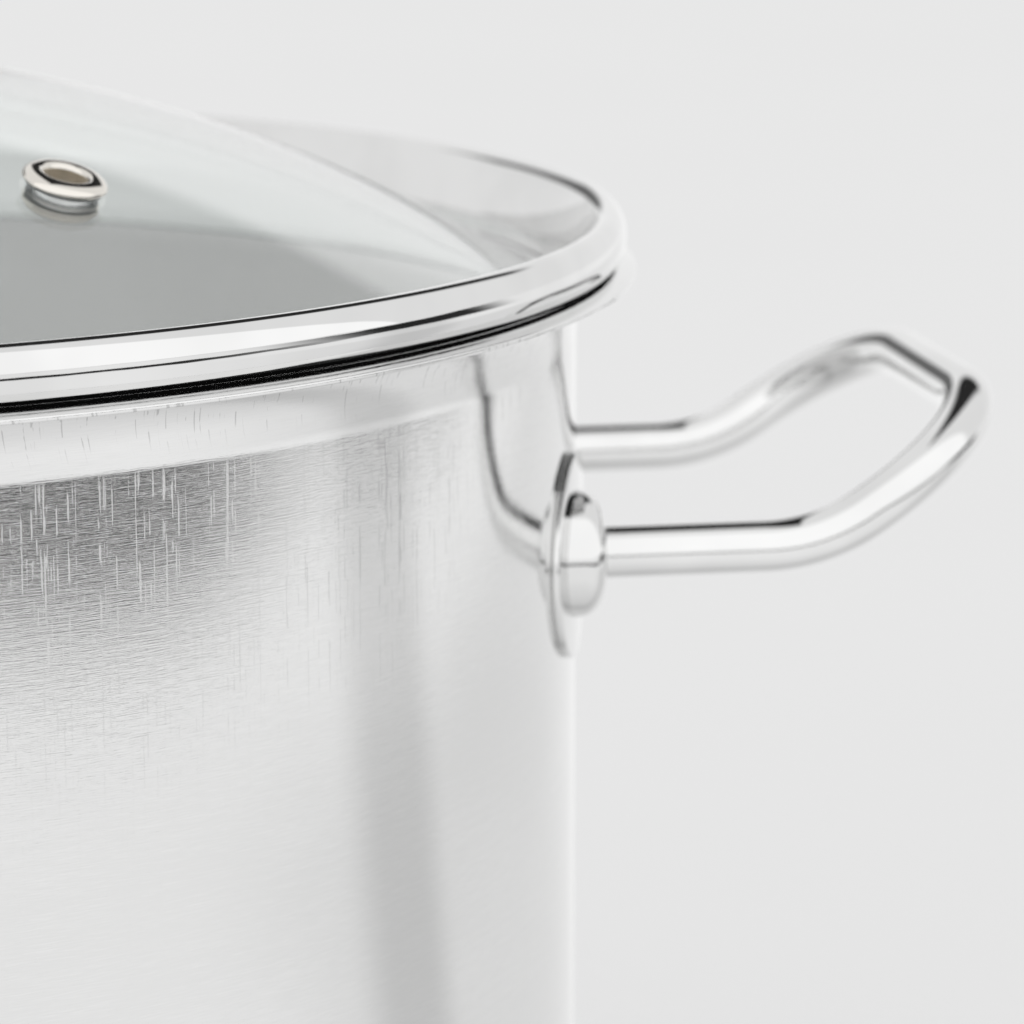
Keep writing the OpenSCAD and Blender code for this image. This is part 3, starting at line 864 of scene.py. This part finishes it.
# ---------------------------------------------------------------- knob
def knob():
    """The turned knob: foot, waist and crowned head round the screw's bore."""
    low, high, soft = KNOB_LOW.z, KNOB_HIGH.z, KNOB_FOOT_SOFT
    foot_top, head_low = low + KNOB_FOOT_T, high - KNOB_HEAD_H
    throat_r = (head_low - foot_top) / 2
    head_r = KNOB_HIGH.x - KNOB_EDGE_R
    crown_edge = math.degrees(math.asin(head_r / KNOB_CROWN_R))
    outline = (
        [(0, low + KNOB_BORE_DEPTH), (KNOB_BORE_R, low + KNOB_BORE_DEPTH), (KNOB_BORE_R, low)]
        + arc((KNOB_FOOT_R - soft, low + soft), soft, -90, 0, 5)
        + arc((KNOB_FOOT_R - soft, foot_top - soft), soft, 0, 90, 5)
        + arc((KNOB_WAIST_R + throat_r, foot_top + throat_r), throat_r, 242, 118, 40)
        + arc((head_r, head_low + KNOB_EDGE_R), KNOB_EDGE_R, -80, 74, 24)
        + arc((0, high - KNOB_CROWN_R), KNOB_CROWN_R, 90 - crown_edge, 90, 16)
    )
    piece("knob", "lid", KNOB_STEEL, turned(outline, 180))


def knob_base_plate():
    """The domed plate under the knob."""
    hole_r, plate_r = KNOB_BORE_R + 0.3 * MM, KNOB_PLATE_HIGH.x
    top = dome_rows(KNOB_PLATE_OFF + KNOB_PLATE_T, hole_r, plate_r - 0.3 * MM, 24)
    under = dome_rows(KNOB_PLATE_OFF, hole_r, plate_r - 0.25 * MM, 12)
    edge_z = (top[-1][1] + under[-1][1]) / 2
    edge = arc((plate_r - KNOB_PLATE_SOFT, edge_z), KNOB_PLATE_SOFT, 50, -50, 8)
    piece("knob_base_plate", "lid", KNOB_STEEL, turned(top + edge + under[::-1], 180))


pot_shell()
base_cap()
handle("right")
handle("left")
lid_rim_band()
lid_glass()
vent_eyelet()
knob()
knob_base_plate()


# ---------------------------------------------------------------- studio
PALE = 0.81
FLOOR_R = 9


def floor_light(tree, place):
    """The mirrored floor: white, with a painted dark patch at the front right, and painted shadows."""
    x, y, _ = split(tree, place)
    front = product(tree, y, -1.0)
    reach = flat_distance(tree, x, front)
    heading = sums(tree, "DEGREES", sums(tree, "ARCTAN2", x, front))

    def towards(angle):
        """Distance along the floor in a direction turned angle from the front towards +X."""
        a = math.radians(angle)
        return sums(tree, "MULTIPLY_ADD", x, math.sin(a), product(tree, front, math.cos(a)))

    # A painted dark patch that only reflections show, and the part of it that runs on to the right
    near = product(tree, window(tree, towards(45), (1.0, 1.12), (1.5, 1.56)),
                   window(tree, heading, (-10, 15), (55, 100)))
    far = product(tree, window(tree, heading, (62, 86), (100, 112)), remap(tree, reach, 1.3, 1.45, 0, 1))
    painted_dark_patch = sums(tree, "MAXIMUM", near, far)
    # A painted shadow on the floor at the right, seen only in reflections, and a darker strip of it
    painted_floor_shadow = product(tree, remap(tree, towards(71), 0.72, 0.86, 1, 0),
                   window(tree, heading, (50, 90), (120, 175)))
    strip = window(tree, heading, (78, 86), (92, 99))
    # The pot's own soft shadow round its base
    light = remap(tree, reach, 0.15, 0.4, 0.85, 1.03)
    # Painted shade: each mask dims the mirrored floor by its share
    for mask, share in ((painted_dark_patch, 0.97), (painted_floor_shadow, 0.16), (strip, 0.2)):
        light = dimmed(tree, light, mask, share)
    return light


def studio_floor():
    """A pale round floor, which the steel mirrors as floor_light describes."""
    mesh = bpy.data.meshes.new("Studio_Floor")
    bm = bmesh.new()
    bmesh.ops.create_circle(bm, cap_ends=True, segments=96, radius=FLOOR_R)
    bm.to_mesh(mesh)
    bm.free()
    material, tree, output, place = new_material("Pale_Floor")
    pale = tinted(tree, noise(tree, place, (3, 3, 3), 3, 0.5), (0.835, 0.835, 0.835), (0.855, 0.855, 0.855))
    matt = put(tree, "ShaderNodeBsdfDiffuse", {"Color": pale}).outputs[0]
    # Glossy rays see an emission with the painted shade of floor_light, in place of the lit floor
    mirrored = put(tree, "ShaderNodeEmission", {"Strength": floor_light(tree, place)}).outputs[0]
    glossy = put(tree, "ShaderNodeLightPath").outputs["Is Glossy Ray"]
    tree.links.new(mixed(tree, glossy, matt, mirrored), output.inputs["Surface"])
    mesh.materials.append(material)
    obj = bpy.data.objects.new("Studio_Floor", mesh)
    bpy.context.scene.collection.objects.link(obj)


def sky_light(tree, later):
    """What the steel mirrors above the floor: a white backdrop, a dark ceiling and a front softbox."""
    way = put(tree, "ShaderNodeTexCoord").outputs["Generated"]
    x, y, z = split(tree, way)
    heading = sums(tree, "DEGREES", sums(tree, "ARCTAN2", x, y))
    climb = sums(tree, "DEGREES", sums(tree, "ARCSINE", z))
    over = sums(tree, "DEGREES", sums(tree, "ARCTAN2", z, y))

    # The ceiling is a dark patch at the back right, and spreads to all sides for later reflections
    patch = sums(tree, "MAXIMUM", window(tree, heading, (-4, 2), (36, 48)), later)
    ceiling = product(tree, remap(tree, climb, 25, 29, 0, 1), remap(tree, over, 100, 106, 1, 0), patch)
    # A dark stand slants down from left to right in front of the backdrop
    slant = sums(tree, "ADD", climb, sums(tree, "MULTIPLY_ADD", heading, 0.4, -6.6))
    stand = product(tree, remap(tree, sums(tree, "ABSOLUTE", slant), 6.5, 9, 1, 0),
                    window(tree, heading, (-46, -38), (0, 6)), sums(tree, "SUBTRACT", 1.0, later))
    dark = sums(tree, "MAXIMUM", ceiling, product(tree, stand, 0.85))
    softbox = remap(tree, over, 100, 106, 0, 1)
    return dimmed(tree, sums(tree, "MULTIPLY_ADD", softbox, 0.3, 0.95), dark, 0.97)


def studio_world():
    """Even pale light for everything but reflections, which see sky_light."""
    world = bpy.data.worlds.new("Studio")
    bpy.context.scene.world = world
    world.use_nodes = True
    # Not sampled as a lamp, so that each kind of ray sees its own value
    world.cycles.sampling_method = "NONE"
    tree = world.node_tree
    tree.nodes.clear()
    path = put(tree, "ShaderNodeLightPath").outputs
    later = sums(tree, "GREATER_THAN", path["Ray Depth"], 2.5)
    through_glass = sums(tree, "GREATER_THAN", path["Transmission Depth"], 0.5)
    glossy = product(tree, path["Is Glossy Ray"], sums(tree, "SUBTRACT", 1.0, through_glass))
    even = sums(tree, "MULTIPLY_ADD", path["Is Diffuse Ray"], 0.14, PALE)
    value = put(tree, "ShaderNodeMix", {"Factor": glossy, "A": even, "B": sky_light(tree, later)},
                data_type="FLOAT").outputs["Result"]
    back = put(tree, "ShaderNodeBackground", {"Color": (1, 1, 1, 1), "Strength": value})
    tree.links.new(back.outputs[0], put(tree, "ShaderNodeOutputWorld").inputs["Surface"])


studio_floor()
studio_world()

# ---------------------------------------------------------------- camera
# The eye's distance from the pot's axis, its turn from the front towards +X and its height
EYE_R = 0.6523
EYE_TURN = 1.742
EYE_Z = RIM_Z + 92.92 * MM
# The turn of the line of sight from +Y towards +X, and how far it looks down
LOOK_TURN = 9.833
LOOK_DOWN = 11.78
# The sharpest place, on the wall below the rim
FOCUS_TURN = 24
FOCUS_DOWN = 20 * MM


def beside_axis(r, turn, z):
    """The place at a distance r from the pot's axis, turned from the front towards +X."""
    a = math.radians(turn)
    return r * math.sin(a), -r * math.cos(a), z


def camera():
    """The photo's viewing angle, with a slight blur away from the focus."""
    focus = bpy.data.objects.new("Focus", None)
    bpy.context.scene.collection.objects.link(focus)
    focus.location = beside_axis(INNER_R, FOCUS_TURN, RIM_Z - FOCUS_DOWN)

    lens = bpy.data.cameras.new("Camera")
    lens.lens = 145.9
    lens.sensor_width = 36
    lens.clip_start = 0.01
    lens.dof.use_dof = True
    lens.dof.focus_object = focus
    lens.dof.aperture_fstop = 28
    made = bpy.data.objects.new("Camera", lens)
    bpy.context.scene.collection.objects.link(made)
    made.location = beside_axis(EYE_R, EYE_TURN, EYE_Z)
    made.rotation_euler = (math.radians(90 - LOOK_DOWN), 0, -math.radians(LOOK_TURN))
    bpy.context.scene.camera = made


camera()
view = bpy.context.scene.view_settings
view.view_transform = "Standard"
view.look = "None"
